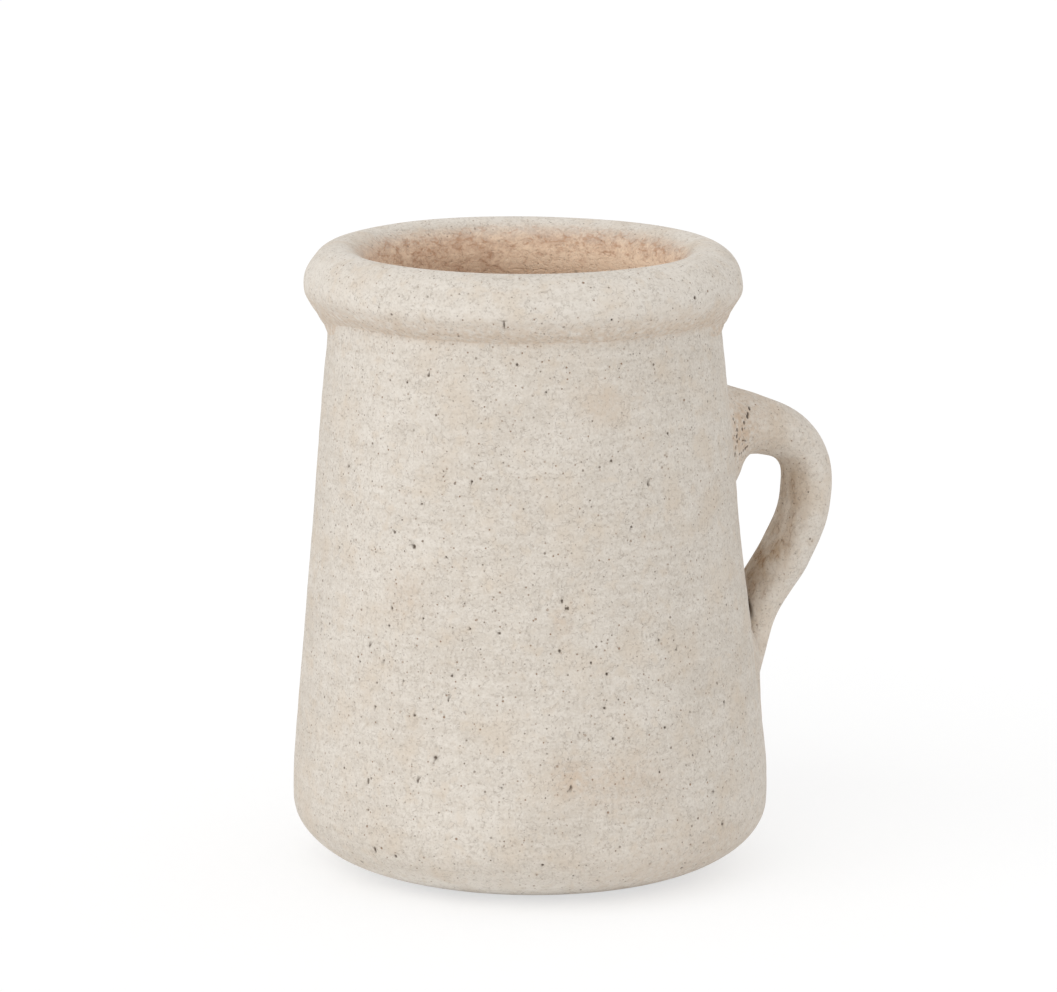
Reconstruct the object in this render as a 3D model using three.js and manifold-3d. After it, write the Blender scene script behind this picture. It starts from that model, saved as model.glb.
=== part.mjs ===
// Hand-made terracotta jug with a rolled rim and one pulled handle.
// Millimetres, +Z up. The origin is the middle of the flat face that it stands on, and the
// handle lies towards +X. Like the real one, the jug leans a little away from its handle.

import * as THREE from 'three';
import { mergeVertices } from 'three/addons/utils/BufferGeometryUtils.js';
import Module from 'manifold-3d';

const wasm = await Module();
wasm.setup();

// Whole jug
const JUG_HEIGHT = 210;
const LEAN_PER_HEIGHT = 0.0174; // sideways shift for each millimetre of height
const FIT_CLEARANCE = 0.3; // gap between a piece and the curved piece that it is scribed to

// Floor and thrown wall
const FLOOR_THICKNESS = 12;
const FOOT_RADIUS = 42; // edge of the flat standing face
const BELLY_RADIUS = 80; // widest place, at the top of the heel
const HEEL_HEIGHT = 22; // height of the rounded heel
const SHOULDER_HEIGHT = 16; // the belly turns into the straight cone over this height
const NECK_RADIUS = 65.4; // outside of the wall where the rim sits on it
const WALL_THICKNESS = 10;
const INNER_CORNER_RADIUS = 16; // between the floor and the wall, inside

// Rolled rim
const MOUTH_RADIUS = 50.5; // narrowest place of the mouth
const RIM_OUTER_RADIUS = 72.5;
const ROLL_HALF_HEIGHT = 12.7;
const UNDERCUT_ANGLE = THREE.MathUtils.degToRad(44); // the oval roll stops here on its underside
const CREASE_RISE = 0.5; // height of the crease, from the edge of the wall up to the roll

// Pulled handle
const HANDLE_ROOT_Z = 143; // middle of the root on the wall
const HANDLE_DROP = 95; // from the root down to the buried end of the tail
const HANDLE_REACH = 29.4; // from the wall out to the middle of the strap
const ROOT_THICKNESS = 21;
const STRAP_THICKNESS = 15.5;
const TAIL_THICKNESS = 7;
const ROOT_WIDTH = 28;
const STRAP_WIDTH = 24.5;
const TAIL_WIDTH = 27;
const SECTION_SQUARENESS = 0.85; // 1 is a true oval, less is fuller at its corners
const ROOT_TAPER_END = 0.4; // share of the strap's length over which the root thins
const TAIL_TAPER_START = 0.6; // share of the strap's length at which the tail starts to thin

// The strap's middle line: share of the reach, then share of the drop
const HANDLE_ROUTE = [
  [-0.14, 0],
  [0.43, -0.025],
  [0.96, 0.07],
  [1, 0.255],
  [0.72, 0.44],
  [0.26, 0.635],
  [0.03, 0.82],
  [-0.2, 1],
];

// Clay worked round the two joints
const COLLAR_LENGTH = 13; // how far it runs out along the strap
const COLLAR_SPREAD = 6; // how far it runs over the wall, beside the strap
const COLLAR_EDGE = 0.8; // its thickness where it ends on the strap
const SMEAR_ABOVE_TAIL = 21; // from the tail's buried end up to the middle of the clay beside it
const SMEAR_HALF_HEIGHT = 21;
const SMEAR_HALF_WIDTH = 21;
const SMEAR_THICKNESS = 3.8;

// Facets
const ROUND_SEGMENTS = 72;
const HEEL_STEPS = 9;
const SHOULDER_STEPS = 3;
const CORNER_STEPS = 5;
const ROLL_STEPS = 20;
const COVE_STEPS = 3;
const STRAP_RINGS = 40;
const SECTION_SIDES = 20;
const COLLAR_RINGS = 7;
const SMEAR_SEGMENTS = 28;
const SMALLEST_STEP = 0.2; // profile points closer than this are left out

// Heights and slopes that follow from the sizes above
const ROLL_MIDDLE_Z = JUG_HEIGHT - ROLL_HALF_HEIGHT;
const RIM_SEAT_Z = ROLL_MIDDLE_Z - ROLL_HALF_HEIGHT * Math.sin(UNDERCUT_ANGLE) - CREASE_RISE;
const CONE_FOOT_Z = HEEL_HEIGHT + SHOULDER_HEIGHT;
const CONE_SLOPE = (BELLY_RADIUS - NECK_RADIUS)
  / (RIM_SEAT_Z - CONE_FOOT_Z + SHOULDER_HEIGHT / 2);
const SMEAR_Z = HANDLE_ROOT_Z - HANDLE_DROP + SMEAR_ABOVE_TAIL;

// Outside radius of the thrown body at a height: oval heel, easy shoulder, straight cone
function bodyRadius(z) {
  if (z < HEEL_HEIGHT) {
    const below = (HEEL_HEIGHT - z) / HEEL_HEIGHT;
    return FOOT_RADIUS + (BELLY_RADIUS - FOOT_RADIUS) * Math.sqrt(1 - below * below);
  }
  if (z < CONE_FOOT_Z) {
    const above = z - HEEL_HEIGHT;
    return BELLY_RADIUS - CONE_SLOPE * above * above / (2 * SHOULDER_HEIGHT);
  }
  return NECK_RADIUS + CONE_SLOPE * (RIM_SEAT_Z - z);
}

// Heights at which the body's profile has a point, close together where it is round
function bodyHeights(low, high) {
  const heights = [];
  for (let i = 1; i <= HEEL_STEPS; i += 1) {
    heights.push(HEEL_HEIGHT * (1 - Math.cos((i / HEEL_STEPS) * Math.PI / 2)));
  }
  for (let i = 1; i <= SHOULDER_STEPS; i += 1) {
    heights.push(HEEL_HEIGHT + (i / SHOULDER_STEPS) * SHOULDER_HEIGHT);
  }
  const between = heights.filter((z) => z > low + SMALLEST_STEP && z < high - SMALLEST_STEP);
  return [low, ...between, high];
}

function outsidePoints(low, high, offset = 0) {
  return bodyHeights(low, high).map((z) => new THREE.Vector2(bodyRadius(z) + offset, z));
}

// Turns a closed profile of radius and height round the jug's axis
function revolve(points) {
  const geometry = new THREE.LatheGeometry(points, ROUND_SEGMENTS);
  geometry.rotateX(Math.PI / 2);
  return geometry;
}

// A closed mesh with shared corners and no flat triangles, as the solid cutter needs it
function toSolid(geometry) {
  const bare = geometry.clone();
  bare.deleteAttribute('normal');
  bare.deleteAttribute('uv');
  const merged = mergeVertices(bare);
  const corners = merged.index.array;
  const triangles = [];
  for (let i = 0; i < corners.length; i += 3) {
    const [a, b, c] = [corners[i], corners[i + 1], corners[i + 2]];
    if (a !== b && b !== c && c !== a) {
      triangles.push(a, b, c);
    }
  }
  return new wasm.Manifold(new wasm.Mesh({
    numProp: 3,
    vertProperties: new Float32Array(merged.attributes.position.array),
    triVerts: new Uint32Array(triangles),
  }));
}

function toGeometry(solid) {
  const mesh = solid.getMesh();
  const geometry = new THREE.BufferGeometry();
  geometry.setAttribute('position', new THREE.BufferAttribute(mesh.vertProperties, 3));
  geometry.setIndex(new THREE.BufferAttribute(mesh.triVerts, 1));
  geometry.computeVertexNormals();
  return geometry;
}

// Closes a row of rings, each a list of corners, into one skin with a flat cap at each end
function loft(rings) {
  const sides = rings[0].length;
  const positions = [];
  for (const ring of rings) {
    for (const corner of ring) {
      positions.push(corner.x, corner.y, corner.z);
    }
  }
  const indices = [];
  for (let r = 0; r < rings.length - 1; r += 1) {
    for (let s = 0; s < sides; s += 1) {
      const here = r * sides + s;
      const next = r * sides + (s + 1) % sides;
      indices.push(here, next, here + sides, next, next + sides, here + sides);
    }
  }
  const last = (rings.length - 1) * sides;
  for (let s = 1; s < sides - 1; s += 1) {
    indices.push(0, s + 1, s, last, last + s, last + s + 1);
  }
  const geometry = new THREE.BufferGeometry();
  geometry.setAttribute('position', new THREE.Float32BufferAttribute(positions, 3));
  geometry.setIndex(indices);
  return geometry;
}

// The solid body as the handle and the joint clay meet it, a clearance proud of the wall
function wallCutter() {
  return toSolid(revolve([
    new THREE.Vector2(0, 0),
    ...outsidePoints(0, RIM_SEAT_Z, FIT_CLEARANCE),
    new THREE.Vector2(0, RIM_SEAT_Z),
    new THREE.Vector2(0, 0),
  ]));
}

function makeFloor() {
  return revolve([
    new THREE.Vector2(0, 0),
    ...outsidePoints(0, FLOOR_THICKNESS),
    new THREE.Vector2(0, FLOOR_THICKNESS),
    new THREE.Vector2(0, 0),
  ]);
}

function makeWall() {
  const cornerTop = FLOOR_THICKNESS + INNER_CORNER_RADIUS;
  const inside = bodyHeights(cornerTop, RIM_SEAT_Z)
    .map((z) => new THREE.Vector2(bodyRadius(z) - WALL_THICKNESS, z))
    .reverse();
  const cornerMiddle = bodyRadius(cornerTop) - WALL_THICKNESS - INNER_CORNER_RADIUS;
  for (let i = 1; i <= CORNER_STEPS; i += 1) {
    const turn = (i / CORNER_STEPS) * Math.PI / 2;
    inside.push(new THREE.Vector2(
      cornerMiddle + INNER_CORNER_RADIUS * Math.cos(turn),
      cornerTop - INNER_CORNER_RADIUS * Math.sin(turn),
    ));
  }
  const outside = outsidePoints(FLOOR_THICKNESS, RIM_SEAT_Z);
  return revolve([...outside, ...inside, outside[0]]);
}

function makeRim() {
  const middleRadius = (RIM_OUTER_RADIUS + MOUTH_RADIUS) / 2;
  const halfWidth = (RIM_OUTER_RADIUS - MOUTH_RADIUS) / 2;
  const roll = new THREE.EllipseCurve(
    middleRadius,
    ROLL_MIDDLE_Z,
    halfWidth,
    ROLL_HALF_HEIGHT,
    -UNDERCUT_ANGLE,
    Math.PI + UNDERCUT_ANGLE,
  ).getPoints(ROLL_STEPS);
  const seatOuter = new THREE.Vector2(NECK_RADIUS, RIM_SEAT_Z);
  const seatInner = new THREE.Vector2(NECK_RADIUS - WALL_THICKNESS, RIM_SEAT_Z);
  const cove = new THREE.QuadraticBezierCurve(
    seatOuter,
    new THREE.Vector2(NECK_RADIUS, roll[0].y),
    roll[0],
  ).getPoints(COVE_STEPS);
  return revolve([seatInner, ...cove, ...roll.slice(1), seatInner]);
}

// Middle line of the strap, tied to the wall at every height
function strapLine() {
  return new THREE.CatmullRomCurve3(HANDLE_ROUTE.map(([out, down]) => {
    const z = HANDLE_ROOT_Z - down * HANDLE_DROP;
    return new THREE.Vector3(bodyRadius(z) + out * HANDLE_REACH, 0, z);
  }));
}

// Eases between the sizes at the root, along the strap and at the tail
function strapSize(share, root, strap, tail) {
  const rootEase = 1 - THREE.MathUtils.smoothstep(share, 0, ROOT_TAPER_END);
  const tailEase = THREE.MathUtils.smoothstep(share, TAIL_TAPER_START, 1);
  return strap + (root - strap) * rootEase + (tail - strap) * tailEase;
}

// One oval section of the strap, with a skin added all round it
function strapRing(line, share, skin) {
  const middle = line.getPointAt(share);
  const along = line.getTangentAt(share);
  const outward = new THREE.Vector3(along.z, 0, -along.x);
  const halfThick = strapSize(share, ROOT_THICKNESS, STRAP_THICKNESS, TAIL_THICKNESS) / 2 + skin;
  const halfWide = strapSize(share, ROOT_WIDTH, STRAP_WIDTH, TAIL_WIDTH) / 2 + skin;
  const ring = [];
  for (let i = 0; i < SECTION_SIDES; i += 1) {
    const turn = (i / SECTION_SIDES) * 2 * Math.PI;
    const thick = Math.sign(Math.cos(turn)) * Math.abs(Math.cos(turn)) ** SECTION_SQUARENESS;
    const wide = Math.sign(Math.sin(turn)) * Math.abs(Math.sin(turn)) ** SECTION_SQUARENESS;
    ring.push(middle.clone()
      .addScaledVector(outward, thick * halfThick)
      .add(new THREE.Vector3(0, wide * halfWide, 0)));
  }
  return ring;
}

function strapSolid(skin) {
  const line = strapLine();
  const rings = [];
  for (let i = 0; i <= STRAP_RINGS; i += 1) {
    rings.push(strapRing(line, i / STRAP_RINGS, skin));
  }
  return toSolid(loft(rings));
}

// The pulled strap, scribed to the wall at both ends
function makeHandle() {
  return toGeometry(strapSolid(0).subtract(wallCutter()));
}

// A flared collar that runs from the wall out onto the strap's root
function makeUpperClay() {
  const line = strapLine();
  const collarShare = COLLAR_LENGTH / line.getLength();
  const buriedShare = Math.abs(HANDLE_ROUTE[0][0]) * HANDLE_REACH / line.getLength();
  const rings = [];
  for (let i = 0; i <= COLLAR_RINGS; i += 1) {
    const outShare = i / COLLAR_RINGS;
    const spread = COLLAR_EDGE + COLLAR_SPREAD * (1 - outShare) ** 2;
    rings.push(strapRing(line, outShare * (collarShare + buriedShare), spread));
  }
  const collar = toSolid(loft(rings));
  return toGeometry(collar.subtract(strapSolid(FIT_CLEARANCE)).subtract(wallCutter()));
}

// A low pad pressed onto the wall, open where the tail lies in it
function makeLowerClay() {
  const pad = new THREE.SphereGeometry(1, SMEAR_SEGMENTS, SMEAR_SEGMENTS / 2);
  pad.rotateX(Math.PI / 2);
  pad.scale(SMEAR_THICKNESS, SMEAR_HALF_WIDTH, SMEAR_HALF_HEIGHT);
  pad.rotateY(-Math.atan(CONE_SLOPE));
  pad.translate(bodyRadius(SMEAR_Z), 0, SMEAR_Z);
  return toGeometry(toSolid(pad).subtract(strapSolid(FIT_CLEARANCE)).subtract(wallCutter()));
}

// Whitewashed clay is pale and quite dull; the joint clay shows more of the ochre below
const WHITEWASH = { color: 0xd7cfc4, roughness: 0.95, metalness: 0 };
const STANDING_FACE = { color: 0xcdbfae, roughness: 0.97, metalness: 0 };
const JOINT_CLAY = { color: 0xcbb9a6, roughness: 0.96, metalness: 0 };

// Pushes the finished piece over by the jug's lean, away from the handle
function leaningMesh(name, geometry, finish) {
  const lean = new THREE.Matrix4().makeShear(0, 0, 0, 0, -LEAN_PER_HEIGHT, 0);
  geometry.applyMatrix4(lean);
  const mesh = new THREE.Mesh(geometry, new THREE.MeshStandardMaterial(finish));
  mesh.name = name;
  return mesh;
}

const jug = new THREE.Group();
jug.name = 'terracotta_jug';
jug.add(leaningMesh('base_floor', makeFloor(), STANDING_FACE));
jug.add(leaningMesh('body_wall', makeWall(), WHITEWASH));
jug.add(leaningMesh('rolled_rim', makeRim(), WHITEWASH));
jug.add(leaningMesh('handle', makeHandle(), WHITEWASH));
jug.add(leaningMesh('upper_joint_clay', makeUpperClay(), JOINT_CLAY));
jug.add(leaningMesh('lower_joint_clay', makeLowerClay(), JOINT_CLAY));

export default jug;
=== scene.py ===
import math
import random

import bpy
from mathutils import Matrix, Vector
from mathutils.kdtree import KDTree


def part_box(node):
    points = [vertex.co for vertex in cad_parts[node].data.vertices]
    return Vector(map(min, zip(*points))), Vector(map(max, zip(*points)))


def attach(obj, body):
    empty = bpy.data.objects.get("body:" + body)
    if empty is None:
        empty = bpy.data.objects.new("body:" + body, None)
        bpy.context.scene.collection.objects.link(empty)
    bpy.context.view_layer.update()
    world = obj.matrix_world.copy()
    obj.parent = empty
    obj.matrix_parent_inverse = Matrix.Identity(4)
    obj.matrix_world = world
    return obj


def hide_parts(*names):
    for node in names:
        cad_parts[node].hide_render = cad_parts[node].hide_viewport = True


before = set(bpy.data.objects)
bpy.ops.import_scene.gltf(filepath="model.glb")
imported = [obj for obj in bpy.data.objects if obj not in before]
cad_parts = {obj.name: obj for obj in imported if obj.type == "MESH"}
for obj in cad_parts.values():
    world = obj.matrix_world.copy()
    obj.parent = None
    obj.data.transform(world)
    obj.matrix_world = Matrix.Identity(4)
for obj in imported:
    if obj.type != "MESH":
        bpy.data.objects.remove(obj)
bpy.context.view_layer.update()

# Camera
# A long lens two metres off, on the side where the handle stands out to the right, looking down
# by twelve degrees. It is held a quarter of a degree out of level.
VIEW_DISTANCE = 2.0
VIEW_TURN = math.radians(20)  # from square on to the handle, towards the handle's back
VIEW_DROP = math.radians(11.92)
VIEW_ROLL = math.radians(0.286)
VIEW_LENS = 203.15
SENSOR_WIDTH = 36
JUG_MIDDLE = Vector((0, 0, 0.105))
FARTHEST_SEEN = 100
CAMERA_LEFT = 0.00183  # it stands this far beside the jug's middle
AIM_LEFT = 0.00135  # the lens points this far beside the jug's middle, and this far above it
AIM_ABOVE = 0.01914

view_right = Vector((math.cos(VIEW_TURN), -math.sin(VIEW_TURN), 0))
view_level = Vector((math.sin(VIEW_TURN), math.cos(VIEW_TURN), 0))
view_ahead = view_level * math.cos(VIEW_DROP) - Vector((0, 0, math.sin(VIEW_DROP)))
view_up = view_right.cross(view_ahead)
camera_place = JUG_MIDDLE - view_right * CAMERA_LEFT - view_ahead * VIEW_DISTANCE
aim = JUG_MIDDLE - view_right * AIM_LEFT + view_up * AIM_ABOVE
facing = (aim - camera_place).to_track_quat("-Z", "Y").to_euler()
facing.rotate_axis("Z", VIEW_ROLL)

bpy.ops.object.select_all(action="DESELECT")
bpy.ops.object.camera_add(location=camera_place, rotation=facing)
camera = bpy.context.object
camera.name = "camera"
camera.data.lens = VIEW_LENS
camera.data.sensor_width = SENSOR_WIDTH
camera.data.sensor_fit = "HORIZONTAL"
camera.data.clip_end = FARTHEST_SEEN
bpy.context.scene.camera = camera
bpy.context.scene.view_settings.view_transform = "Standard"


# Studio
# A white table that runs back out of sight, a white room that lights the jug from all sides, one
# broad lamp from the left of the camera and a weak one from the right, behind the handle.
TABLE_SIZE = 40
TABLE_WHITE = 0.41  # the part of its white that takes a shadow
TABLE_GLOW = 0.63  # and the part that doesn't, seen by the camera alone
TABLE_BOUNCE = 0.95  # what the table throws back onto the jug
ROOM_LIGHT = 0.76
LAMP_BREADTH = math.radians(70)
LAMPS = (("left lamp", 0.96, Vector((-1.04, -0.64, 0.75))),
         ("right lamp", 0.18, Vector((0.94, 0.30, 0.35))))


def add_node(tree, kind, feeds=None, **settings):
    """Adds a shader node. A feed is a number, a colour or another node's output."""
    node = tree.nodes.new("ShaderNode" + kind)
    for name, value in settings.items():
        setattr(node, name, value)
    for socket, feed in (feeds or {}).items():
        if isinstance(feed, bpy.types.NodeSocket):
            tree.links.new(feed, node.inputs[socket])
        else:
            node.inputs[socket].default_value = feed
    return node


def seen_directly(tree):
    """1 where the camera looks, also in a gloss or through glass; 0 for light that bounces."""
    path = add_node(tree, "LightPath")
    glossy = add_node(tree, "Math", {0: path.outputs["Is Camera Ray"],
                                     1: path.outputs["Is Glossy Ray"]}, operation="MAXIMUM")
    return add_node(tree, "Math", {0: glossy.outputs[0],
                                   1: path.outputs["Is Transmission Ray"]},
                    operation="MAXIMUM").outputs[0]


def white_table():
    table = bpy.data.materials.new("white table")
    table.use_nodes = True
    tree = table.node_tree
    surface = tree.nodes["Principled BSDF"]
    surface.inputs["Roughness"].default_value = 0.9
    surface.inputs["Specular IOR Level"].default_value = 0
    seen = seen_directly(tree)
    white = add_node(tree, "Mix", {
        "Factor": seen,
        6: (TABLE_BOUNCE, TABLE_BOUNCE, TABLE_BOUNCE, 1),
        7: (TABLE_WHITE, TABLE_WHITE, TABLE_WHITE, 1),
    }, data_type="RGBA")
    glow = add_node(tree, "Math", {0: seen, 1: TABLE_GLOW}, operation="MULTIPLY")
    surface.inputs["Emission Color"].default_value = (1, 1, 1, 1)
    tree.links.new(glow.outputs[0], surface.inputs["Emission Strength"])
    tree.links.new(white.outputs[2], surface.inputs["Base Color"])
    return table


def white_room():
    room = bpy.data.worlds.new("white room")
    room.use_nodes = True
    tree = room.node_tree
    light = tree.nodes["Background"]
    light.inputs["Color"].default_value = (1, 1, 1, 1)
    strength = add_node(tree, "Mix", {"Factor": seen_directly(tree), 2: ROOM_LIGHT, 3: 1.0})
    tree.links.new(strength.outputs[0], light.inputs["Strength"])
    return room


bpy.context.scene.world = white_room()
bpy.ops.mesh.primitive_plane_add(size=TABLE_SIZE, location=(0, 0, 0))
table = bpy.context.object
table.name = "table"
table.data.materials.append(white_table())

for name, power, place in LAMPS:
    bpy.ops.object.light_add(type="SUN", rotation=place.to_track_quat("Z", "Y").to_euler())
    lamp = bpy.context.object
    lamp.name = name
    lamp.data.energy = power
    lamp.data.angle = LAMP_BREADTH


# Thrown body
# The wall and the floor are one lump of coarse red clay, thrown on the wheel and tapered inwards.
# Outside it is brushed with lime wash, inside the clay is bare. Grit leaves small pits.
LEAN = 0.0174  # the jug leans this far away from its handle for each unit of height
SIDES = 72
FOOT_RADIUS = 0.042
HEEL_HEIGHT = 0.022
SHOULDER_HEIGHT = 0.016
WALL_THICKNESS = 0.010
CORNER_RADIUS = 0.016
TONGUE = 0.0045  # the wall runs this far up inside the rolled rim
TONGUE_BEVEL = (0.0010, 0.0012)  # in from its outer edge, and down
TONGUE_TAPER = 0.0008  # it is this much thinner at its top, inside
WALL_HOLLOW = 0.0002  # the cone is a touch hollow at half its height
HEEL_STEP = 9  # degrees
OUTER_STEP = 0.008
INNER_STEP = 0.009
CORNER_STEP = 18  # degrees
MIDDLE_RING = 0.004  # radius of the last ring, before the middle of a disc is closed
FOOT_RING = 0.022
RIDGE_DEPTH = 0.0004  # the fingers leave ridges inside

floor_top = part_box("base_floor")[1].z
wall_low, wall_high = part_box("body_wall")
BELLY_RADIUS = (wall_high.y - wall_low.y) / 2
SEAT_HEIGHT = wall_high.z
NECK_RADIUS = 0.0652
CONE_FOOT = HEEL_HEIGHT + SHOULDER_HEIGHT
CONE_SLOPE = (BELLY_RADIUS - NECK_RADIUS) / (SEAT_HEIGHT - CONE_FOOT + SHOULDER_HEIGHT / 2)


def body_radius(height):
    """Outside radius of the jug: oval heel, easy shoulder, straight cone."""
    if height < HEEL_HEIGHT:
        below = (HEEL_HEIGHT - height) / HEEL_HEIGHT
        return FOOT_RADIUS + (BELLY_RADIUS - FOOT_RADIUS) * math.sqrt(1 - below * below)
    if height < CONE_FOOT:
        above = height - HEEL_HEIGHT
        return BELLY_RADIUS - CONE_SLOPE * above * above / (2 * SHOULDER_HEIGHT)
    up = min(1, (height - CONE_FOOT) / (SEAT_HEIGHT - CONE_FOOT))
    hollow = WALL_HOLLOW * math.sin(math.pi * up)
    return NECK_RADIUS + CONE_SLOPE * (SEAT_HEIGHT - height) - hollow


def spread(low, high, step):
    """Evenly spaced values from low to high, about a step apart, without the first."""
    count = max(1, round(abs(high - low) / step))
    return [low + (high - low) * i / count for i in range(1, count + 1)]


def outside_profile():
    """From the edge of the foot up to the top of the tongue."""
    heel = [HEEL_HEIGHT * (1 - math.cos(math.radians(turn)))
            for turn in range(HEEL_STEP, 91, HEEL_STEP)]
    wall = spread(HEEL_HEIGHT, SEAT_HEIGHT, OUTER_STEP)
    top = SEAT_HEIGHT + TONGUE
    edge = body_radius(top)
    bevel_in, bevel_down = TONGUE_BEVEL
    return ([(FOOT_RADIUS, 0)] + [(body_radius(z), z) for z in heel + wall]
            + [(edge, top - bevel_down), (edge - bevel_in, top)])


def inside_profile():
    """From the top of the tongue down to the middle of the floor."""
    corner_top = floor_top + CORNER_RADIUS
    corner_middle = body_radius(corner_top) - WALL_THICKNESS - CORNER_RADIUS
    points = [(NECK_RADIUS - WALL_THICKNESS + TONGUE_TAPER, SEAT_HEIGHT + TONGUE),
              (NECK_RADIUS - WALL_THICKNESS, SEAT_HEIGHT)]
    ridge = 1
    for z in spread(SEAT_HEIGHT, corner_top, INNER_STEP):
        points.append((body_radius(z) - WALL_THICKNESS - RIDGE_DEPTH * ridge, z))
        ridge = -ridge
    for turn in range(CORNER_STEP, 91, CORNER_STEP):
        corner = math.radians(turn)
        points.append((corner_middle + CORNER_RADIUS * math.cos(corner),
                       corner_top - CORNER_RADIUS * math.sin(corner)))
    for radius in spread(corner_middle, MIDDLE_RING, INNER_STEP):
        points.append((radius, floor_top + RIDGE_DEPTH * ridge))
        ridge = -ridge
    return points


def pull_ring(start, end):
    """Pulls the selected ring of edges from one (radius, height) to the next."""
    bpy.ops.mesh.extrude_region_move(TRANSFORM_OT_translate={
        "value": (LEAN * (start[1] - end[1]), 0, end[1] - start[1])})
    share = end[0] / start[0]
    bpy.ops.transform.resize(value=(share, share, 1),
                             center_override=(-LEAN * end[1], 0, end[1]))


def throw(name, profile):
    """Throws a round piece: a ring, pulled through every (radius, height) of the profile."""
    radius, height = profile[0]
    bpy.ops.object.select_all(action="DESELECT")
    bpy.ops.mesh.primitive_circle_add(vertices=SIDES, radius=radius, fill_type="NOTHING",
                                      location=(-LEAN * height, 0, height))
    piece = bpy.context.object
    piece.name = name
    bpy.ops.object.transform_apply()
    bpy.ops.object.mode_set(mode="EDIT")
    for start, end in zip(profile, profile[1:]):
        pull_ring(start, end)
    return piece


SMOOTHING = 2  # levels of subdivision
TOUCHING = 0.00001  # what lies this close together is one point


def finish_with(piece, kind, **settings):
    """Adds a modifier and applies it at once."""
    modifier = piece.modifiers.new(kind.lower(), kind)
    for name, value in settings.items():
        setattr(modifier, name, value)
    bpy.context.view_layer.objects.active = piece
    bpy.ops.object.modifier_apply(modifier=modifier.name)


def smooth_form(piece):
    """Makes a smooth form of the rough one."""
    finish_with(piece, "SUBSURF", levels=SMOOTHING, render_levels=SMOOTHING)


def shade_smooth(piece):
    bpy.ops.object.select_all(action="DESELECT")
    piece.select_set(True)
    bpy.ops.object.shade_smooth()


def pick(piece, wanted):
    """Selects the points of a mesh for which wanted is true, and stays in edit mode."""
    bpy.context.view_layer.objects.active = piece
    bpy.ops.object.mode_set(mode="EDIT")
    bpy.ops.mesh.select_mode(type="VERT")
    bpy.ops.mesh.select_all(action="DESELECT")
    bpy.ops.object.mode_set(mode="OBJECT")
    for vertex in piece.data.vertices:
        vertex.select = wanted(vertex.co)
    bpy.ops.object.mode_set(mode="EDIT")


def weigh(piece, name, weight):
    """A vertex group whose weight at each point is given by its place."""
    group = piece.vertex_groups.new(name=name)
    for vertex in piece.data.vertices:
        group.add([vertex.index], weight(vertex.co), "REPLACE")
    return name


UNEVEN_MIDDLE = 0.6  # the level of the patches that neither dents nor swells


def make_uneven(piece, size, depth, stretch=1.0, group=""):
    """Dents the surface by up to depth, in soft patches of that size, and stretch times as long."""
    bpy.ops.object.empty_add()
    spacing = bpy.context.object
    spacing.scale = (size * stretch, size * stretch, size)
    bpy.context.view_layer.update()
    cloud = bpy.data.textures.new("patches", "CLOUDS")
    cloud.noise_scale = 1
    cloud.noise_depth = 2
    finish_with(piece, "DISPLACE", texture=cloud, texture_coords="OBJECT",
                texture_coords_object=spacing, mid_level=UNEVEN_MIDDLE, strength=depth,
                vertex_group=group)
    bpy.data.objects.remove(spacing)
    bpy.data.textures.remove(cloud)


WARP_SIZE = 0.06
WARP_DEPTH = 0.0006
GROOVE_SIZE = 0.0045
GROOVE_DEPTH = 0.00025
GROOVE_STRETCH = 9  # how much longer a groove is than it is high


def make_uneven_as_thrown(piece, group=""):
    """The slow warp of drying, and shallow grooves from the fingers as the wheel turned."""
    make_uneven(piece, WARP_SIZE, WARP_DEPTH, group=group)
    make_uneven(piece, GROOVE_SIZE, GROOVE_DEPTH, stretch=GROOVE_STRETCH, group=group)


def tidy_mesh(piece):
    """Merges doubles and turns every face outwards."""
    bpy.context.view_layer.objects.active = piece
    bpy.ops.object.mode_set(mode="EDIT")
    bpy.ops.mesh.select_all(action="SELECT")
    bpy.ops.mesh.remove_doubles(threshold=TOUCHING)
    bpy.ops.mesh.normals_make_consistent(inside=False)
    bpy.ops.object.mode_set(mode="OBJECT")


def fade(value, start, end):
    """0 at start, 1 at end, easing between them."""
    share = min(1, max(0, (value - start) / (end - start)))
    return share * share * (3 - 2 * share)


def turn_and_radius(point):
    """Turn from the handle towards the camera's side in degrees, and distance from the axis."""
    x = point.x + LEAN * point.z
    return math.degrees(math.atan2(-point.y, x)) % 360, math.hypot(x, point.y)


def turned_from(point, turn):
    """Degrees from a turn to the point's own, the short way round."""
    return (turn_and_radius(point)[0] - turn + 180) % 360 - 180


def is_inside(point):
    """Whether a point of the wall is nearer its inside."""
    return turn_and_radius(point)[1] < body_radius(point.z) - WALL_THICKNESS / 2


def bell(away, breadth):
    """1 where away is nothing, falling to 0 at the breadth."""
    return 1 - fade(abs(away), 0, breadth)


OUTER_SKIN = 0.004  # a dent is whole in this much of the wall's thickness


def press(piece, turn, breadth, height, reach, depth, way="NORMAL"):
    """Presses the outside in by depth, round a place given by its turn and its height. The dent
    is breadth degrees and reach metres to each side. A negative depth swells it, and "Z" presses
    it down."""
    def pressed(point):
        surface = body_radius(point.z)
        outside = fade(turn_and_radius(point)[1], surface - WALL_THICKNESS, surface - OUTER_SKIN)
        return bell(turned_from(point, turn), breadth) * bell(point.z - height, reach) * outside

    group = weigh(piece, "pressed", pressed)
    finish_with(piece, "DISPLACE", direction=way, strength=-depth, mid_level=0,
                vertex_group=group)
    piece.vertex_groups.clear()


def unrolled(point):
    """The outside laid flat, as distance round the belly and height. The inside lies far off."""
    turn = turn_and_radius(point)[0]
    return Vector((math.radians(turn) * BELLY_RADIUS, point.z, 1 if is_inside(point) else 0))


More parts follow.
